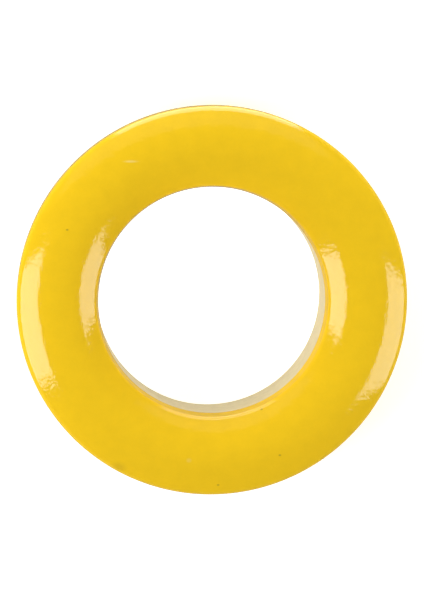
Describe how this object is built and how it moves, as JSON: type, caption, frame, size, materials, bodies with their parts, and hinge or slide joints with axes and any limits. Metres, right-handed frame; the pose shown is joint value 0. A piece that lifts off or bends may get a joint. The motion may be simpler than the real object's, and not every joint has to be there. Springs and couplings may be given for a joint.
{
  "type": "juggling ring",
  "caption": "Thick domed juggling ring with a gloss front and back shell, a wide round hole lined by a pale sleeve, and a flat back to rest on.",
  "frame": {"origin": "centre of the bore, in the plane of the flat back face", "axes": "+Z along the bore, from the back face towards the domed front; X and Y are free, as the ring is round"},
  "size_m": [0.24, 0.24, 0.054],
  "materials": {
    "gloss_yellow": "high-gloss yellow with a fine orange-peel surface",
    "pale_bore": "matte cream, fine turned texture",
    "seam_band": "plain moulded, hidden",
    "foam": "closed-cell foam, hidden"
  },
  "bodies": {
    "root": {"front_shell": "gloss_yellow", "back_shell": "gloss_yellow", "bore_sleeve": "pale_bore", "rim_band": "seam_band", "front_foam": "foam", "back_foam": "foam"}
  },
  "joints": []
}
